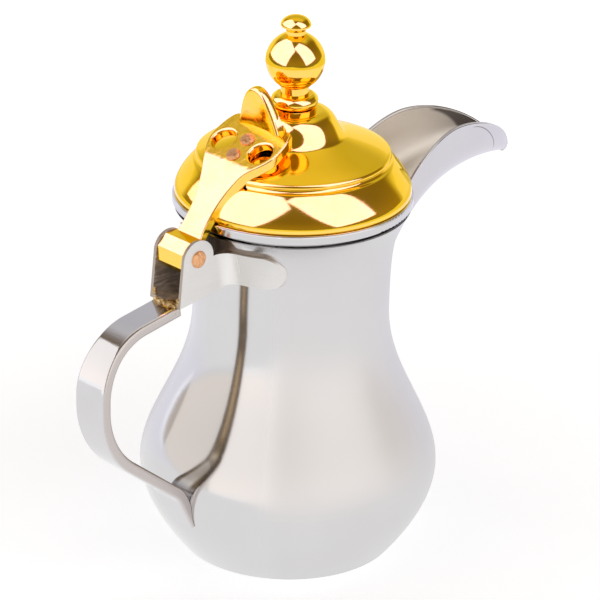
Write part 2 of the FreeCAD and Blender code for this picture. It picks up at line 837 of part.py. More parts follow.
os.makedirs("parts", exist_ok=True)
write("body_shell", make_body_shell())
write("base_plate", make_base_plate())
write("spout", make_spout())
write("hinge_bracket", make_bracket())
write("hinge_pin", make_pin())
write("handle_strap", make_strap())
write("lid_pan", make_pan())
write("lid_dome", make_dome())
write("lid_lever", make_lever())
write("lever_rivets", make_rivets())
write("finial_collar", make_collar())
write("finial_ball", make_ball())
write("finial_cap", make_cap())
write("finial_stud", make_stud())
write("finial_washer", make_washer())
write("finial_nut", make_nut())
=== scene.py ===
# %% [markdown]
# # A coffee pot in polished steel and gold
# The pot stands on a white table in a photographer's tent. Its solids come
# ready made from the CAD frame, so this lesson is about what the solids lack:
# the finishes, the welds, a few finer shapes, the light and the camera.

# %% Load the frame
import math

import bmesh
import bpy
from mathutils import Matrix, Vector, noise


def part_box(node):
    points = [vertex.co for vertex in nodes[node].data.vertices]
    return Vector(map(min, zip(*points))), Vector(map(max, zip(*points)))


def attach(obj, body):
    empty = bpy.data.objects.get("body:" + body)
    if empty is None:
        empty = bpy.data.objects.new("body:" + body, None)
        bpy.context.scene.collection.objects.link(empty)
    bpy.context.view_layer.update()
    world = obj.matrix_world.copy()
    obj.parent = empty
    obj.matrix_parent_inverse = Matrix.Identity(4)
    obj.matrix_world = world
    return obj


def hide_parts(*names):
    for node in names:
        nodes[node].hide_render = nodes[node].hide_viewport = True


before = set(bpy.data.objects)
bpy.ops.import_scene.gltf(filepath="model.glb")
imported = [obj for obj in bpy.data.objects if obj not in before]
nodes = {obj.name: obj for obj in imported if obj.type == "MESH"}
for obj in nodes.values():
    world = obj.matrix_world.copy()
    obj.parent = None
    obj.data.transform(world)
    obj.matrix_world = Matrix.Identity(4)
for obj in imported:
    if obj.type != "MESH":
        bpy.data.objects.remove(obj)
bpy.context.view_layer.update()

print("solids:", ", ".join(sorted(nodes)))

# %% [markdown]
# ## The camera
# The photograph was taken from behind the handle, a little above the lid, with
# a long lens. A long lens keeps the rim's ellipse flat and the sides nearly
# parallel. The camera could be aimed with a constraint, but a rotation made
# from three angles is plain to read, and it also takes the slight roll.

# %% Place the camera
view_turn = math.radians(44.0)
view_fall = math.radians(23.85)
view_roll = math.radians(1.15)
camera_distance = 1.5751
camera_height = 0.8201
camera_slide = 0.0044
film_width = 36.0
lens_length = 214.96


def put_in_scene(name, data):
    """A new object in the scene, made from a lens, a lamp or a mesh."""
    thing = bpy.data.objects.new(name, data)
    bpy.context.scene.collection.objects.link(thing)
    return thing


away = Vector((math.sin(view_turn), math.cos(view_turn), 0))
right = Vector((math.cos(view_turn), -math.sin(view_turn), 0))
lens = bpy.data.cameras.new("photo_lens")
lens.sensor_width = film_width
lens.lens = lens_length
camera = put_in_scene("photo_camera", lens)
bpy.context.scene.camera = camera
aim = Matrix.Rotation(-view_turn, 4, "Z") @ Matrix.Rotation(math.pi / 2 - view_fall, 4, "X")
aim = aim @ Matrix.Rotation(view_roll, 4, "Z")
stand = camera_slide * right - camera_distance * away + Vector((0, 0, camera_height))
camera.matrix_world = Matrix.Translation(stand) @ aim
print("camera at", [round(value, 3) for value in stand])

# %% [markdown]
# ## Shader maths in Python
# A finish is a sum of small masks, and a page of nodes is hard to read. One
# class wraps a socket, so that sums and products of masks are written as
# ordinary Python. A second class is the bench on which a finish is made. It has
# one method that adds any node: first the node's settings, then its sockets.

# %% Wrap a socket
class Wire:
    def __init__(self, bench, socket):
        self.bench = bench
        self.socket = socket

    def math(self, operation, first, second):
        return self.bench.add("ShaderNodeMath", {"operation": operation}, {0: first, 1: second})

    def __add__(self, other):
        return self.math("ADD", self, other)

    def __radd__(self, other):
        return self.math("ADD", other, self)

    def __sub__(self, other):
        return self.math("SUBTRACT", self, other)

    def __rsub__(self, other):
        return self.math("SUBTRACT", other, self)

    def __mul__(self, other):
        return self.math("MULTIPLY", self, other)

    def __rmul__(self, other):
        return self.math("MULTIPLY", other, self)

    def __abs__(self):
        return self.math("ABSOLUTE", self, 0.0)

    def sign(self):
        return self.math("SIGN", self, 0.0)

    def or_larger(self, other):
        return self.math("MAXIMUM", self, other)


print("a wire takes sums, differences, products, sizes, signs and the larger of two")


# %% Set up a bench for node trees
class Bench:
    def __init__(self, tree):
        self.tree = tree
        tree.nodes.clear()

    def add(self, kind, settings=None, sockets=None, out=0):
        """Any node: its settings come first, then values or links for its sockets."""
        node = self.tree.nodes.new(kind)
        for name, value in (settings or {}).items():
            setattr(node, name, value)
        for name, value in (sockets or {}).items():
            if isinstance(value, Wire):
                self.tree.links.new(value.socket, node.inputs[name])
            else:
                node.inputs[name].default_value = value
        return Wire(self, node.outputs[out]) if len(node.outputs) else node

    def place(self):
        """Where a point lies on the piece, in metres, in the pot's own frame."""
        return self.add("ShaderNodeTexCoord", out="Object")

    def normal(self):
        """The surface's direction, in the pot's own frame."""
        return self.add("ShaderNodeTexCoord", out="Normal")

    def rays(self, kind):
        """1 for one kind of ray, such as those that the camera sees, and 0 for others."""
        return self.add("ShaderNodeLightPath", out="Is " + kind + " Ray")

    def parts(self, vector):
        """A vector's three numbers."""
        split = self.add("ShaderNodeSeparateXYZ", sockets={"Vector": vector}).socket.node
        return [Wire(self, socket) for socket in split.outputs]

    def vectors(self, operation, first, second=(0, 0, 0), out=0):
        return self.add("ShaderNodeVectorMath", {"operation": operation}, {0: first, 1: second}, out)

    def stretched(self, vector, scale):
        return self.vectors("MULTIPLY", vector, scale)

    def offset(self, vector, start):
        return self.vectors("SUBTRACT", vector, start)

    def unit(self, vector):
        return self.vectors("NORMALIZE", vector)

    def dot(self, first, second):
        return self.vectors("DOT_PRODUCT", first, second, "Value")

    def length(self, vector):
        return self.vectors("LENGTH", vector, out="Value")

    def step(self, value, low, high):
        """0 below low, 1 above high, and an eased step between them."""
        return self.add("ShaderNodeMapRange", {"interpolation_type": "SMOOTHSTEP"},
                        {"Value": value, "From Min": low, "From Max": high})

    def cloud(self, scale, detail=3.0, vector=None):
        """Soft noise all over the piece."""
        return self.add("ShaderNodeTexNoise", {"noise_dimensions": "3D"},
                        {"Vector": vector or self.place(), "Scale": scale, "Detail": detail})

    def streaks(self, stretch, detail=3.0):
        """Noise that is squeezed by its own amount along X, Y and Z."""
        return self.cloud(1.0, detail, self.stretched(self.place(), stretch))

    def blend(self, share, first, second):
        """A colour between two others."""
        return self.add("ShaderNodeMix", {"data_type": "RGBA"},
                        {0: share, 6: first, 7: second}, out=2)

    def bump(self, height, strength, distance):
        return self.add("ShaderNodeBump", sockets={"Height": height, "Strength": strength,
                                                   "Distance": distance})


def new_finish(name):
    material = bpy.data.materials.new(name)
    material.use_nodes = True
    return material, Bench(material.node_tree)


def close_metal(bench, sockets):
    """End a finish with a shader that is metal all over."""
    shader = bench.add("ShaderNodeBsdfPrincipled", sockets={"Metallic": 1.0, **sockets}, out="BSDF")
    bench.add("ShaderNodeOutputMaterial", sockets={"Surface": shader})


def give(material, *names):
    for name in names:
        slots = nodes[name].data.materials
        slots.clear()
        slots.append(material)
    print(material.name, "on", ", ".join(names))


print("the bench offers", ", ".join(tool for tool in vars(Bench) if not tool.startswith("_")))

# %% [markdown]
# ## The tent
# Polished metal has hardly any look of its own: it shows what stands round it.
# The table and the backdrop are white, the ceiling is dimmer, and the side of
# the room where the camera stands is a warm dark. The room could be a painted
# sphere, but the world's colour can be worked out from the direction alone.

# %% Paint the room
white = (1.0, 1.0, 1.0, 1.0)
dark_low = (0.33, 0.255, 0.185, 1.0)
dark_high = (0.22, 0.17, 0.125, 1.0)
ceiling = (0.61, 0.60, 0.62, 1.0)
skylight = (0.84, 0.79, 0.72, 1.0)
backdrop = (0.94, 0.935, 1.0, 1.0)
dark_fade = (0.0, 0.6)
ceiling_start = (-0.05, 0.25)
ceiling_side = (0.40, 0.65)
skylight_start = (0.65, 0.92)
backdrop_start = (0.50, 0.68)
backdrop_top = (0.22, 0.50)

world = bpy.data.worlds.new("tent")
bpy.context.scene.world = world
world.use_nodes = True
room = Bench(world.node_tree)
heading = room.add("ShaderNodeTexCoord", out="Generated")
behind_pot = room.dot(heading, away)
aside = abs(room.dot(heading, right))
upward = room.parts(heading)[2]
overhead = room.step(behind_pot, *ceiling_start) * (1 - room.step(aside, *ceiling_side))
low_part = room.step(behind_pot, *backdrop_start) * (1 - room.step(upward, *backdrop_top))
dark_side = room.blend(room.step(upward, *dark_fade), dark_low, dark_high)
light_side = room.blend(room.step(upward, *skylight_start), ceiling, skylight)
room_colour = room.blend(overhead, dark_side, light_side)
room_colour = room.blend(low_part, room_colour, backdrop)
seen = room.rays("Camera") + room.rays("Transmission")
walls = room.add("ShaderNodeBackground", sockets={"Color": room.blend(seen, room_colour, white)})
room.add("ShaderNodeOutputWorld", sockets={"Surface": walls})
print("room from", dark_high[:3], "to", backdrop[:3])

# %% [markdown]
# ## Soft boxes
# Two tall soft boxes stand left and right of the camera, with a dark slit for
# the lens between them. A real box is far brighter than white paper, which is
# what gives gold its pale gleam, but that much light would bleach the table. So
# light linking shows each lamp to some of the pieces only. The plain boxes
# shine on all but the gold. The gold has two boxes of its own, which stand
# nearer, lean sideways and nod over the pot, because the gleams in the
# photograph are slanted. Gold swallows blue, so these two are strong in blue,
# and the gleam comes out pale. Weak fills close dark gaps for the steel alone.

# %% Sort the pieces for the lamps
groups = {
    "gold_pieces": ["lid_dome", "lid_lever", "finial_collar", "finial_ball", "finial_cap"],
    "steel_pieces": ["body_shell", "spout", "hinge_bracket", "lid_pan"],
    "strap_pieces": ["handle_strap"],
}
lit_by = {group: bpy.data.collections.new(group) for group in [*groups, "not_gold"]}
for group, names in groups.items():
    for name in names:
        lit_by[group].objects.link(nodes[name])
    print(group, names)


def keep_plain_boxes_off(piece):
    """The plain boxes shine on every piece that isn't struck off their list here."""
    lit_by["not_gold"].objects.link(piece)
    lit_by["not_gold"].collection_objects[-1].light_linking.link_state = "EXCLUDE"


for name in groups["gold_pieces"]:
    keep_plain_boxes_off(nodes[name])
print("not_gold leaves out", len(groups["gold_pieces"]), "solids")


# %% Build a soft box
def hang_lamp(name, shape, width, height, area, level, colour, lit):
    """A flat lamp for one group of pieces. At level 1 it is as bright as white paper."""
    light = bpy.data.lights.new(name, "AREA")
    light.shape = shape
    light.size = width
    light.size_y = height
    light.energy = level * math.pi * area
    light.color = colour
    lamp = put_in_scene(name, light)
    lamp.visible_camera = False
    lamp.light_linking.receiver_collection = lit_by[lit]
    return lamp


def heading_to(angle):
    """The level direction that lies at an angle, in degrees, from the camera's side."""
    return math.sin(math.radians(angle)) * right - math.cos(math.radians(angle)) * away


def soft_box(name, lit, angle, distance, width, level, colour=(1.0, 1.0, 1.0),
             height=1.75, foot=0.0, lean=0, nod=0):
    """A lamp that faces the pot. It leans to its side and nods over the pot by angles."""
    box = hang_lamp(name, "RECTANGLE", width, height, width * height, level, colour, lit)
    towards = heading_to(angle)
    middle = math.cos(math.radians(nod)) * height / 2
    box.location = distance * towards + Vector((0, 0, foot + middle))
    facing_pot = towards.to_track_quat("Z", "Y").to_matrix() @ Matrix.Rotation(-math.radians(nod), 3, "X")
    box.rotation_euler = (facing_pot @ Matrix.Rotation(math.radians(lean), 3, "Z")).to_euler()
    print(name, "at", [round(value, 2) for value in box.location])


print("lamps can shine on", ", ".join(lit_by))

# %% Hang the plain boxes
box_distance = 1.20
plain_boxes = {
    "left": {"angle": -62, "width": 3.05, "level": 0.62},
    "right": {"angle": 46, "width": 1.75, "level": 0.94},
}
for side, box in plain_boxes.items():
    soft_box("soft_box_" + side, "not_gold", distance=box_distance, **box)

# %% Hang the gold's boxes
gold_gleam = {"colour": (0.088, 0.072, 1.0), "level": 22.0, "distance": 0.90, "height": 2.4, "nod": 22}
soft_box("gold_box_left", "gold_pieces", angle=-72, width=2.5, foot=0.20, lean=-9, **gold_gleam)
soft_box("gold_box_right", "gold_pieces", angle=49, width=1.15, foot=0.24, lean=17, **gold_gleam)
soft_box("gold_back", "gold_pieces", angle=180, distance=box_distance, width=3.2, level=0.8,
         colour=(0.14, 0.12, 1.0), height=0.60)

# %% Hang the fills
fill_distance = box_distance - 0.04
strap_fill_distance = box_distance - 0.06
fills = {
    "front": {"angle": -36, "width": 1.00, "level": 0.28},
    "middle": {"angle": -1.5, "width": 0.46, "level": 0.74},
    "right": {"angle": 103, "width": 0.86, "level": 0.52},
    "left": {"angle": -123, "width": 0.40, "level": 0.28},
}
for side, fill in fills.items():
    soft_box("fill_" + side, "steel_pieces", distance=fill_distance, **fill)
soft_box("fill_strap", "strap_pieces", plain_boxes["left"]["angle"], strap_fill_distance,
         plain_boxes["left"]["width"], level=0.40)

# %% [markdown]
# ## A glow from the table
# Over-bright paper also turns gold pale where the gold mirrors the table: the
# lower half of the ball is peach, not yellow. A flat round lamp on the table
# shines upwards and is shown to the gold alone. It ends well before the soft
# boxes, as a real table does.

# %% Lay the glow
glow_width = 1.3
glow_level = 4.8
glow_colour = (0.04, 0.05, 1.0)
glow_lift = 0.002
glow_area = math.pi * glow_width ** 2 / 4
glow = hang_lamp("gold_table", "DISK", glow_width, glow_width, glow_area,
                 glow_level, glow_colour, "gold_pieces")
glow.location = (0, 0, glow_lift)
glow.rotation_euler = (math.pi, 0, 0)
print("gold_table is", glow_width, "m across")

# %% [markdown]
# ## The table
# The pot stands on white paper that is lit until its shadow almost goes. The
# paper takes the pot's shadow, and a gleam that only the camera sees lifts it
# to white. The gleam is weaker near the pot, which paints a faint shade round
# it. What the metal mirrors is an even white up to the soft boxes. Behind them
# it is as dark as the room, because a mirrored ray passes through a lamp and
# adds up what stands behind it.

# %% Lay the table
table_radius = 4.0
bpy.ops.mesh.primitive_circle_add(vertices=96, radius=table_radius, fill_type="NGON")
table = bpy.context.object
table.name = "table"
print("table", 2 * table_radius, "m across")

# %% Make white paper
black = (0.0, 0.0, 0.0, 1.0)
paper_shades = ((0.815, 0.85, 0.895, 1), (0.835, 0.87, 0.915, 1))
mirrored_shades = ((1.0, 0.995, 0.985, 1), (0.965, 0.955, 1.03, 1))
box_edge = 0.003
table_paper, bench = new_finish("white_table")
fibres = bench.cloud(90.0)
paper = bench.add("ShaderNodeBsdfDiffuse", sockets={"Color": bench.blend(fibres, *paper_shades)})
from_pot = bench.length(bench.place())
# painted shade: the gleam is weaker near the pot, so the paper round it is darker
whitening_and_painted_shade = 0.49 + 0.10 * bench.step(from_pot, 0.08, 0.34) + 0.40 * bench.step(from_pot, 0.40, 0.95)
seen = bench.rays("Camera") + bench.rays("Transmission")
gleam = bench.add("ShaderNodeEmission", sockets={"Color": bench.blend(seen * whitening_and_painted_shade, black, white)})
lit_paper = bench.add("ShaderNodeAddShader", sockets={0: paper, 1: gleam})
past_boxes = 0.0
for box in plain_boxes.values():
    outward = bench.dot(bench.place(), heading_to(box["angle"]))
    past_boxes = past_boxes + bench.step(outward, box_distance - box_edge, box_distance + box_edge)
in_front = 1 - bench.step(past_boxes, 0.0, 1.0)
cool = bench.step(bench.dot(bench.place(), away), 0.0, 0.35)
mirrored_colour = bench.blend(0.24 + 0.72 * in_front, black, bench.blend(cool, *mirrored_shades))
even_white = bench.add("ShaderNodeEmission", sockets={"Color": mirrored_colour})
surface = bench.add("ShaderNodeMixShader", sockets={0: bench.rays("Glossy"), 1: lit_paper, 2: even_white})
bench.add("ShaderNodeOutputMaterial", sockets={"Surface": surface})
table_paper.cycles.emission_sampling = "NONE"
table.data.materials.append(table_paper)
print(table_paper.name, "on table")

# %% [markdown]
# ## Wiped steel
# The body is spun from stainless steel and polished. Daily wiping has turned
# the polish into an even satin, except behind the handle, where a cloth hardly
# reaches: there the steel is still a mirror and shows the strap's image. The
# direction from the pot's axis tells how near a place is to the handle, so one
# mask of it sets the roughness. Spinning also leaves fine rings, made from
# noise that is squeezed along Z.

# %% Make wiped steel
lathe_rings = (60, 60, 4000)
wiped_shades = ((0.68, 0.67, 0.68, 1), (0.735, 0.73, 0.74, 1))
wiped, bench = new_finish("wiped_steel")
rings = bench.streaks(lathe_rings)
patches = bench.cloud(28.0)
smears = bench.streaks((30, 30, 140), 4.0)
around = bench.unit(bench.stretched(bench.place(), (1, 1, 0)))
behind_handle = bench.step(0 - bench.parts(around)[0], 0.68, 0.92)
satin = 0.38 + 0.06 * patches + 0.05 * smears
mirror = 0.09 + 0.03 * patches + 0.02 * rings
close_metal(bench, {"Base Color": bench.blend(patches, *wiped_shades),
                    "Roughness": satin + behind_handle * (mirror - satin),
                    "Normal": bench.bump(rings, strength=0.04, distance=0.0002)})
give(wiped, "body_shell")

# %% [markdown]
# ## Polished steel
# The lid's pan and the base stay bright, because hands and cloths pass them by.
# They share the rings of the spinning lathe.

# %% Make polished steel
steel_shades = ((0.66, 0.655, 0.67, 1), (0.73, 0.725, 0.74, 1))
steel, bench = new_finish("polished_steel")
rings = bench.streaks(lathe_rings)
patches = bench.cloud(28.0)
close_metal(bench, {"Base Color": bench.blend(patches, *steel_shades),
                    "Roughness": 0.05 + 0.05 * patches + 0.04 * rings,
                    "Normal": bench.bump(rings, strength=0.05, distance=0.0002)})
give(steel, "base_plate", "lid_pan")

# %% [markdown]
# ## Spout steel
# The beak is bent from flat sheet, so it has no rings. Outside it is buffed,
# and inside, where no wheel fits, it is duller, and painted light makes its
# colour paler and warmer than steel. Near the tip the sheet is folded over once
# for stiffness. The fold shows outside as a fine groove with a line of painted
# shadow, and inside as a lip of painted shade. A circle in the XZ plane carries
# both.

# %% Make spout steel
fold_centre = (0.1013, 0.0, 0.1638)
fold_radius = 0.0273
fold_half_width = (0.00010, 0.00042)
beak_shades = ((0.66, 0.64, 0.665, 1), (0.72, 0.70, 0.73, 1))
# painted light: the inside is paler and warmer than bare steel
inside_painted_light_tones = ((0.96, 0.905, 0.83, 1), (0.985, 0.95, 0.90, 1))
# painted shade for the lip inside the fold
fold_lip_painted_shade = (0.17, 0.145, 0.135, 1)
sheared_edge = (0.30, 0.27, 0.25, 1)
fold_shadow = (0.16, 0.14, 0.13, 1)

beak, bench = new_finish("spout_steel")
x, y, z = bench.parts(bench.place())
facing = bench.parts(bench.normal())
trough = bench.step(facing[2] - y.sign() * facing[1], -0.2, 0.2)
patches = bench.cloud(34.0)
scratches = bench.streaks((40, 900, 900))
from_centre = bench.stretched(bench.offset(bench.place(), fold_centre), (1, 0, 1))
from_fold = bench.length(from_centre) - fold_radius
fold_line = (1 - bench.step(abs(from_fold), *fold_half_width)) * bench.step(x, 0.104, 0.110)
fold_line = fold_line * bench.step(z, 0.170, 0.176) * (1 - trough)
# painted shade on the inner lip, past the fold
lip = trough * bench.step(from_fold, -0.0012, 0.0006) * bench.step(x, 0.106, 0.112)
# the inside takes painted light, and its lip takes painted shade
inside_with_painted_light = bench.blend(0.9 * lip, bench.blend(patches, *inside_painted_light_tones), fold_lip_painted_shade)
beak_colour = bench.blend(trough, bench.blend(patches, *beak_shades), inside_with_painted_light)
cut_edge = (1 - bench.step(abs(facing[1]), 0.05, 0.20)) * bench.step(abs(y), 0.005, 0.007)
beak_colour = bench.blend(0.8 * cut_edge, beak_colour, sheared_edge)
beak_colour = bench.blend(0.75 * fold_line, beak_colour, fold_shadow)
close_metal(bench, {"Base Color": beak_colour,
                    "Roughness": 0.10 + 0.05 * patches + 0.05 * scratches + 0.26 * trough,
                    "Normal": bench.bump(0.1 * scratches - fold_line, strength=0.25, distance=0.0003)})
give(beak, "spout")

# %% [markdown]
# ## Heat colours
# Welding heat leaves brown and straw colours on steel, and they fade with the
# distance from the weld. The strap and the bracket meet at one weld and share
# these colours. Some noise in the distance makes the fading edge ragged.

# %% Mix the heat colours
weld_place = (-0.0815, -0.0035, 0.1462)
heat_shades = ((0.24, 0.14, 0.05, 1), (0.82, 0.58, 0.20, 1))
ragged = 0.006


def heat_tint(bench, colour, near, far):
    """The colour of bare steel, overlaid with heat colours from near to far."""
    flicker = bench.cloud(420.0)
    reach = bench.length(bench.offset(bench.place(), weld_place))
    share = 1 - bench.step(reach + ragged * (flicker - 0.5), near, far)
    return bench.blend(share, colour, bench.blend(bench.step(flicker, 0.40, 0.62), *heat_shades))


print("heat colours round", weld_place)

# %% [markdown]
# ## Strap steel
# The handle is one bent strap. Its broad outer face is polished and its cut
# edges are only ground, so they look satin and a little pink. The face towards
# the hand is painted dark brown as painted shade, which is where the brown line
# in the body's mirror comes from. Low down and in the middle it is painted pale
# instead, as painted light on that shaded face. Which face is which comes from
# the normal, measured against the direction to the middle of the handle's gap.

# %% Make strap steel
gap_middle = (-0.085, 0.0, 0.105)
strap_shades = ((0.66, 0.65, 0.67, 1), (0.74, 0.73, 0.75, 1))
ground_edge = (0.61, 0.56, 0.545, 1)
# painted shade for the face towards the hand, with a lighter middle tone
hand_face_shade_tones = ((0.13, 0.10, 0.075, 1), (0.34, 0.27, 0.19, 1))
lighter_shade_tone = (0.86, 0.66, 0.40, 1)
# painted light for the shaded hand face, low down and in the middle
low_painted_light = (0.95, 0.93, 0.90, 1)

strap, bench = new_finish("strap_steel")
_, y, z = bench.parts(bench.place())
grain = bench.streaks((900, 120, 900))
patches = bench.cloud(40.0)
side_face = bench.step(abs(bench.parts(bench.normal())[1]), 0.55, 0.95)
to_gap = bench.unit(bench.offset(gap_middle, bench.place()))
hand_face = bench.step(bench.dot(bench.normal(), to_gap), 0.25, 0.55) * (1 - side_face)
# lighter patches of the painted shade in the middle strip
lighter_shade_share = (1 - bench.step(abs(y), 0.0010, 0.0065)) * bench.step(bench.cloud(60.0), 0.30, 0.60)
hand_face_painted_shade = bench.blend(lighter_shade_share, bench.blend(bench.cloud(130.0, 4.0), *hand_face_shade_tones), lighter_shade_tone)
# painted shade high up and near the edges, painted light low in the middle
painted_shade_share = bench.step(z, 0.074, 0.090).or_larger(bench.step(abs(y), 0.0030, 0.0060))
strap_colour = bench.blend(side_face, bench.blend(patches, *strap_shades), ground_edge)
strap_colour = bench.blend(hand_face, strap_colour, bench.blend(painted_shade_share, low_painted_light, hand_face_painted_shade))
strap_roughness = 0.06 + 0.05 * patches + side_face * (0.18 + 0.12 * grain) + 0.12 * hand_face
close_metal(bench, {"Base Color": heat_tint(bench, strap_colour, near=0.0022, far=0.0062),
                    "Roughness": strap_roughness,
                    "Normal": bench.bump(grain, strength=0.08, distance=0.0003)})
give(strap, "handle_strap")

# %% [markdown]
# ## Bracket steel
# The hinge bracket is folded from the same sheet. Outside it is brushed to an
# even satin, and painted light brightens its bends. Inside, between its cheeks,
# nobody polished it, and painted shade makes it a dark brown, with lighter
# scrapes. The sawn edges stay brownish.

# %% Make bracket steel
cheek_inside = 0.0088
cheek_front = (0.0565, 0.0585)
bend_start = (-0.0580, -0.0520)
bend_end = (-0.0520, -0.0440)
brushed_shades = ((0.76, 0.745, 0.735, 1), (0.82, 0.81, 0.80, 1))
# painted light for the bends
bend_painted_light = (0.97, 0.96, 0.95, 1)
sawn_steel = (0.40, 0.33, 0.26, 1)
# painted shade for the inside between the cheeks
inside_shade_tones = ((0.42, 0.375, 0.345, 1), (0.72, 0.67, 0.63, 1))

folded, bench = new_finish("bracket_steel")
x, y, _ = bench.parts(bench.place())
facing = bench.parts(bench.normal())
between = 1 - bench.step(abs(y), cheek_inside, cheek_inside + 0.0004)
# inner faces: unpolished, and darkened by painted shade
unpolished_and_shaded = bench.step(0 - y.sign() * facing[1], 0.3, 0.7).or_larger(between)
cheek_edge = (1 - bench.step(abs(facing[1]), 0.35, 0.75)) * bench.step(0 - x, *cheek_front)
sawn = cheek_edge.or_larger(bench.step(abs(facing[2]), 0.6, 0.9))
# the bends, where painted light goes
bend_light_share = bench.step(x, *bend_start) * (1 - bench.step(x, *bend_end))
brushing = bench.streaks((60, 700, 700))
scrapes = bench.streaks((160, 160, 900), 4.0)
bracket_colour = bench.blend(0.55 * bend_light_share, bench.blend(brushing, *brushed_shades), bend_painted_light)
bracket_colour = bench.blend(0.85 * sawn, bracket_colour, sawn_steel)
# painted shade, with lighter scrapes
inside_shade_colour = bench.blend(bench.step(scrapes, 0.35, 0.68), *inside_shade_tones)
bracket_colour = bench.blend(unpolished_and_shaded, bracket_colour, inside_shade_colour)
close_metal(bench, {"Base Color": heat_tint(bench, bracket_colour, near=0.0020, far=0.0050),
                    "Roughness": 0.42 + 0.10 * brushing - 0.12 * sawn + 0.14 * unpolished_and_shaded,
                    "Normal": bench.bump(brushing + unpolished_and_shaded * scrapes, strength=0.06, distance=0.0003)})
give(folded, "hinge_bracket")

# %% [markdown]
# ## From points to a piece
# The rim, the welds, the dome, the cap and the thumb fin are all made from rows
# of points that are joined with faces. Modifiers could make some of them, but
# rows keep the meshes closed and even. Two helpers serve them all: one joins two
# rings with a belt of faces, and one turns the finished shape into a piece that
# rides on the pot or the lid.

# %% Join points into pieces
def belt(shape, first, second):
    """Faces between two closed rings of points."""
    count = len(first)
    for spot in range(count):
        beside = (spot + 1) % count
        shape.faces.new((first[spot], first[beside], second[beside], second[spot]))


def make_piece(name, shape, finish, body, crease=None):
    """A smooth piece; edges that bend by more than the crease, in degrees, stay sharp."""
    bmesh.ops.recalc_face_normals(shape, faces=shape.faces)
    for face in shape.faces:
        face.smooth = True
    mesh = bpy.data.meshes.new(name)
    shape.to_mesh(mesh)
    shape.free()
    if crease:
        mesh.set_sharp_from_angle(angle=math.radians(crease))
    mesh.materials.append(finish)
    piece = put_in_scene(name, mesh)
    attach(piece, body)
    print(name, "has", len(mesh.vertices), "points")
    return piece


print("new pieces will ride on the pot or the lid")

# %% [markdown]
# ## A skin round a path
# Two details are worms of metal: the rolled rim of the spout and the weld
# beads. Both could be curves with a bevel, but a bead needs lumps of uneven
# size, so one helper lays rings of points round a path instead. Each ring is
# turned as little as possible from the last one, which keeps the faces even.

# %% Lay a skin
spokes = 12
spoke_turns = [2 * math.pi * spoke / spokes for spoke in range(spokes)]


def skin(name, path, girth, finish):
    """A closed tube along a path; girth gives the radius from place and direction."""
    shape = bmesh.new()
    rows = []
    across = (path[1] - path[0]).orthogonal().normalized()
    for before, middle, after in zip(path[:-2], path[1:-1], path[2:]):
        along = (after - before).normalized()
        across = (across - across.dot(along) * along).normalized()
        over = along.cross(across)
        row = []
        for turn in spoke_turns:
            out = math.cos(turn) * across + math.sin(turn) * over
            row.append(shape.verts.new(middle + girth(middle, out) * out))
        rows.append(row)
    for first, second in zip(rows[:-1], rows[1:]):
        belt(shape, first, second)
    for end, row in ((path[0], rows[0]), (path[-1], rows[-1])):
        point = shape.verts.new(end)
        for spoke in range(spokes):
            shape.faces.new((point, row[spoke], row[(spoke + 1) % spokes]))
    make_piece(name, shape, finish, "pot")


print("skins have", spokes, "points to a ring")

# %% [markdown]
# ## The spout's rim
# The edge of the beak is rolled smooth, so that it doesn't cut or drip. A thin
# round edge mirrors the whole room in one stroke, and draws the fine dark and
# bright lines along the beak. The rim follows the same two curves as the sheet
# in the CAD model, and a ray cast at the spout's wall says how far out it lies.

# %% Roll the rim
rim_radius = 0.0008
rim_sink = 0.75 * rim_radius
rim_steps = 28
first_step = 6
beside_spout = 0.05
throat = Vector((0.0560, 0.1770))
crest = Vector((0.0933, 0.1943))
tip = Vector((0.1443, 0.1657))
tip_half_width = 0.0014
tip_stop = tip.x - 1.05 * rim_radius
back_edge = (throat, throat + Vector((0.0093, 0.0093)), crest - Vector((0.0130, 0)), crest)
front_edge = (crest, crest + Vector((0.0240, 0)), tip + Vector((0, 0.0125)), tip)


def on_edge(edge, share):
    """A place on a cubic curve, from its four control points."""
    rest = 1 - share
    weights = (rest ** 3, 3 * rest ** 2 * share, 3 * rest * share ** 2, share ** 3)
    return sum((weight * point for weight, point in zip(weights, edge)), Vector((0, 0)))


def rim_path(side):
    """Middle of the rolled edge on one side of the spout, from throat to tip."""
    places = [on_edge(back_edge, step / rim_steps) for step in range(first_step, rim_steps)]
    places += [on_edge(front_edge, step / rim_steps) for step in range(rim_steps)]
    path = []
    for along, height in places:
        start = Vector((along, side * beside_spout, height - rim_radius))
        hit, wall, _, _ = nodes["spout"].ray_cast(start, Vector((0, -side, 0)))
        if hit:
            path.append(Vector((min(along, tip_stop), wall.y - side * rim_sink, height - rim_radius)))
    return path


tip_places = (-tip_half_width, 0.0, tip_half_width)
across_tip = [Vector((tip_stop, place, tip.y - rim_radius)) for place in tip_places]
whole_rim = rim_path(-1) + across_tip + rim_path(1)[::-1]
skin("spout_rim", whole_rim, lambda place, out: rim_radius, steel)

# %% [markdown]
# ## Weld metal
# Weld metal is grey under a skin of heat colours, from straw to brown. Noise
# decides where which colour lies, and a finer noise roughens the surface.

# %% Make weld metal
crust_shades = ((0.34, 0.21, 0.09, 1), (0.84, 0.62, 0.27, 1))
bare_weld = (0.80, 0.77, 0.72, 1)
weld_metal, bench = new_finish("weld_metal")
heat = bench.cloud(480.0)
crust = bench.cloud(2200.0)
weld_colour = bench.blend(bench.step(heat, 0.40, 0.55), *crust_shades)
weld_colour = bench.blend(bench.step(heat, 0.54, 0.66), weld_colour, bare_weld)
close_metal(bench, {"Base Color": weld_colour,
                    "Roughness": 0.22 + 0.25 * crust,
                    "Normal": bench.bump(crust, strength=0.35, distance=0.0003)})
print(weld_metal.name, "is ready for the beads")

# %% [markdown]
# ## Weld beads
# The strap is welded to the bracket's foot, and the cheeks to the floor between
# them. A bead is lumpy, so its radius takes some smooth noise, and it swells
# from a point at each end.

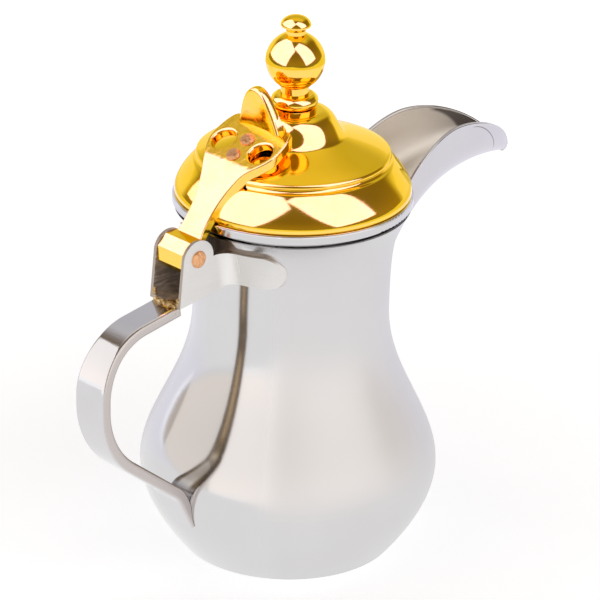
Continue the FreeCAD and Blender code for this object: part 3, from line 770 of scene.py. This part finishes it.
# %% Lay the weld beads
bead_steps = 32
lump_height = 0.55


def weld_bead(name, start, end, radius, lumps):
    """An uneven bead from one point to another, in metres."""
    path = [start.lerp(end, step / bead_steps) for step in range(bead_steps + 1)]

    def girth(place, out):
        share = (place - start).length / (end - start).length
        swell = math.sqrt(1 - (2 * share - 1) ** 4)
        return radius * swell * (1 + lump_height * noise.noise((place + radius * out) * lumps))

    skin(name, path, girth, weld_metal)


beads = {
    "strap_weld": ((-0.0814, -0.0079, 0.1461), (-0.0814, 0.0079, 0.1461), 0.0013, 420.0),
    "strap_weld_star": ((-0.0830, -0.0058, 0.1457), (-0.0806, -0.0018, 0.1478), 0.0012, 700.0),
    "cheek_weld_near": ((-0.0800, -0.0084, 0.1468), (-0.0797, -0.0084, 0.1510), 0.0011, 500.0),
    "cheek_weld_far": ((-0.0800, 0.0084, 0.1468), (-0.0797, 0.0084, 0.1510), 0.0011, 500.0),
}
for name, (start, end, radius, lumps) in beads.items():
    weld_bead(name, Vector(start), Vector(end), radius, lumps)

# %% [markdown]
# ## Gold plate
# The dome and the finial are turned, plated with gold and lacquered, so that
# the thin gold doesn't wear off. The plate alone is a deep yellow. The lacquer
# is a clear coat: it adds a little of the white room at every angle, and more
# where the surface turns away. Any metal mirrors all colours when it is seen
# edge-on, so the shader's edge tint keeps the lamps' blue out of the gold's
# outline. Turning leaves faint rings.

# %% Make turned gold
turned_shades = ((0.96, 0.575, 0.010, 1), (0.99, 0.62, 0.024, 1))
gold_edge = (1.0, 0.92, 0.0, 1.0)
lacquer = {"Coat Weight": 0.25, "Coat IOR": 1.5}
gold, bench = new_finish("turned_gold")
rings = bench.streaks((90, 90, 2500))
patches = bench.cloud(70.0)
close_metal(bench, {"Base Color": bench.blend(patches, *turned_shades), "Specular Tint": gold_edge,
                    "Roughness": 0.05 + 0.05 * patches + 0.03 * rings,
                    "Coat Roughness": 0.04, **lacquer,
                    "Normal": bench.bump(rings, strength=0.03, distance=0.0002)})
give(gold, "lid_dome", "finial_collar", "finial_ball", "finial_cap")

# %% [markdown]
# ## Cast gold
# The lever is cast, so under the same plate and lacquer it keeps a slow
# waviness and fine pits.

# %% Make cast gold
cast_shades = ((0.95, 0.56, 0.012, 1), (0.99, 0.62, 0.028, 1))
cast_gold, bench = new_finish("cast_gold")
waves = bench.cloud(160.0, 2.0)
pits = bench.cloud(900.0, 2.0)
close_metal(bench, {"Base Color": bench.blend(waves, *cast_shades), "Specular Tint": gold_edge,
                    "Roughness": 0.09 + 0.08 * pits,
                    "Coat Roughness": 0.06, **lacquer,
                    "Normal": bench.bump(waves + 0.12 * pits, strength=0.25, distance=0.0006)})
give(cast_gold, "lid_lever")

# %% [markdown]
# ## Turned pieces
# The dome and the finial's cap are turned on a lathe. The frame's solids have
# the right sizes but a plainer foot, bead and brim, so two turned skins stand
# in for them. A screw modifier could spin an outline; rings of points, joined
# as for the rim, keep the mesh closed and even. New gold pieces also join the
# gold's lamps.

# %% Spin an outline
sectors = 128
sector_turns = [2 * math.pi * sector / sectors for sector in range(sectors)]


def light_as_gold(piece):
    lit_by["gold_pieces"].objects.link(piece)
    keep_plain_boxes_off(piece)


def turned(name, outline, stands_for):
    """A closed lathe piece from places that give radius and level."""
    shape = bmesh.new()
    rows = []
    for radius, level in outline:
        corners = [(radius * math.cos(turn), radius * math.sin(turn), level) for turn in sector_turns]
        rows.append([shape.verts.new(corner) for corner in corners])
    for first, second in zip(rows[:-1], rows[1:]):
        belt(shape, first, second)
    starts_on_axis = outline[0][0] == 0
    if not starts_on_axis:
        belt(shape, rows[-1], rows[0])
    bmesh.ops.remove_doubles(shape, verts=shape.verts, dist=1e-6)
    piece = make_piece(name, shape, gold, "lid", crease=35)
    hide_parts(stands_for)
    light_as_gold(piece)


print("turned pieces have", sectors, "sectors")

# %% [markdown]
# ## The dome
# From below, the dome has a rolled foot, a swelling band, a hollow, a bead, a
# shoulder and a bell that carries the finial. Each is one cubic curve, so the
# gleams on it run on without a break. The sheet's inner face is the same
# outline, drawn in and lowered.

# %% Turn the dome
dome_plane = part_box("lid_dome")[0][2]
dome_sheet = 0.0012
stud_bore = 0.0021
curve_steps = 20
dome_curves = {
    "foot": ((0.0553, 0.0), (0.0562, 0.0), (0.0565, 0.0010), (0.0565, 0.0022)),
    "band": ((0.0565, 0.0022), (0.0565, 0.0066), (0.0508, 0.0136), (0.0475, 0.0164)),
    "hollow": ((0.0475, 0.0164), (0.0462, 0.0168), (0.0455, 0.0173), (0.0455, 0.0184)),
    "bead": ((0.0455, 0.0184), (0.0467, 0.0184), (0.0467, 0.0208), (0.0452, 0.0210)),
    "shoulder": ((0.0452, 0.0210), (0.0400, 0.0238), (0.0300, 0.0263), (0.0245, 0.0291)),
    "bell": ((0.0245, 0.0291), (0.0205, 0.0322), (0.0204, 0.0414), (0.0125, 0.0414)),
}
dome_outside = []
for controls in dome_curves.values():
    curve = [Vector(control) for control in controls]
    dome_outside += [on_edge(curve, step / curve_steps) for step in range(curve_steps)]
dome_outside.append(Vector(dome_curves["bell"][-1]))
dome_inside = [Vector((radius - dome_sheet, max(level - dome_sheet, 0))) for radius, level in dome_outside]
dome_top = dome_outside[-1].y
bore = [Vector((stud_bore, dome_top)), Vector((stud_bore, dome_top - dome_sheet))]
dome_outline = dome_outside + bore + dome_inside[::-1]
turned("dome_skin", [(radius, dome_plane + level) for radius, level in dome_outline], "lid_dome")

# %% [markdown]
# ## The finial's cap
# The cap is a small mushroom: a round crown over a short neck that flares out
# under the brim. A quarter of an ellipse makes the crown.

# %% Turn the cap
neck_foot = 0.2592
brim_level = 0.2628
crown_level = brim_level + 0.0009
crown_top = 0.26844
neck_radius = 0.0048
brim_radius = 0.0072
crown_steps = 18
flare = ((neck_radius, -0.0018), (0.0050, -0.0010), (0.0056, -0.0004), (0.0064, -0.0001), (0.0070, 0.0003))
cap_outline = [(0, neck_foot), (neck_radius, neck_foot)]
cap_outline += [(radius, brim_level + lift) for radius, lift in flare]
for step in range(crown_steps):
    turn = math.pi / 2 * step / crown_steps
    level = crown_level + (crown_top - crown_level) * math.sin(turn)
    cap_outline.append((brim_radius * math.cos(turn), level))
cap_outline.append((0, crown_top))
turned("finial_crown", cap_outline, "finial_cap")

# %% [markdown]
# ## The thumb fin
# The lever ends in a fin for the thumb: a rounded leaf with a rolled edge and a
# hollow face. The casting in the frame has a flat leaf, so a fuller one is laid
# over it. It could be sculpted; here one outline is drawn, and smaller copies
# of it at several depths make the edge and the hollow.

# %% Draw the fin
fin_foot = Vector((-0.0188, 0, 0.2176))
fin_lean = math.radians(8)
fin_up = Vector((-math.sin(fin_lean), 0, math.cos(fin_lean)))
fin_front = Vector((-math.cos(fin_lean), 0, -math.sin(fin_lean)))
fin_steps = 16
fin_edge = [Vector(point) for point in ((0.0134, 0), (0.0108, 0.0090), (0.0072, 0.0216), (0, 0.0216))]
fin_back = ((0.5, -0.0003), (0.92, -0.0003), (0.98, 0.0002), (1.0, 0.0012))
fin_roll = ((1.0, 0.0034), (0.985, 0.0043), (0.94, 0.0048), (0.88, 0.0047))
fin_hollow = ((0.78, 0.0043), (0.60, 0.0038), (0.35, 0.00355))
half_leaf = [on_edge(fin_edge, step / fin_steps) for step in range(fin_steps + 1)]
leaf = half_leaf + [Vector((-across, height)) for across, height in half_leaf[-2::-1]]
print("the leaf's outline has", len(leaf), "points")

# %% Cast the fin
shape = bmesh.new()
layers = []
for share, depth in fin_back + fin_roll + fin_hollow:
    layer = []
    for across, height in leaf:
        middle = fin_foot + share * height * fin_up + depth * fin_front
        layer.append(shape.verts.new(middle + Vector((0, share * across, 0))))
    layers.append(layer)
for first, second in zip(layers[:-1], layers[1:]):
    for spot in range(len(leaf) - 1):
        shape.faces.new((first[spot], first[spot + 1], second[spot + 1], second[spot]))
shape.faces.new(layers[0])
shape.faces.new(layers[-1][::-1])
shape.faces.new([layer[0] for layer in layers] + [layer[-1] for layer in layers[::-1]])
light_as_gold(make_piece("lever_fin", shape, cast_gold, "lid", crease=50))

# %% [markdown]
# ## Copper
# The hinge pin and the lever's rivets are soft copper, and their heads were
# closed with a hammer. Each blow leaves a small flat facet, so cells of uneven
# size tilt the surface here and there.

# %% Make hammered copper
copper_shades = ((0.78, 0.38, 0.17, 1), (0.94, 0.55, 0.30, 1))
copper, bench = new_finish("hammered_copper")
blows = bench.add("ShaderNodeTexVoronoi", {"feature": "SMOOTH_F1"},
                  {"Vector": bench.place(), "Scale": 650.0, "Smoothness": 0.4})
dust = bench.cloud(1500.0)
close_metal(bench, {"Base Color": bench.blend(dust, *copper_shades),
                    "Roughness": 0.34 + 0.16 * dust,
                    "Normal": bench.bump(blows, strength=0.45, distance=0.0012)})
give(copper, "hinge_pin", "lever_rivets")

# %% [markdown]
# ## Plain steel
# The stud, the washer and the nut sit under the lid, where only a cook with the
# lid open sees them. They are zinc plated and dull, with small cloudy crystals.

# %% Make plain steel
zinc_shades = ((0.50, 0.51, 0.52, 1), (0.66, 0.66, 0.66, 1))
zinc, bench = new_finish("plain_steel")
crystals = bench.add("ShaderNodeTexVoronoi", sockets={"Vector": bench.place(), "Scale": 700.0})
close_metal(bench, {"Base Color": bench.blend(crystals, *zinc_shades),
                    "Roughness": 0.32 + 0.18 * crystals})
give(zinc, "finial_stud", "finial_washer", "finial_nut")

# %% [markdown]
# ## The view transform
# The view transform stays plain, so a colour renders as it is written.

# %% Finish
bpy.context.scene.view_settings.view_transform = "Standard"
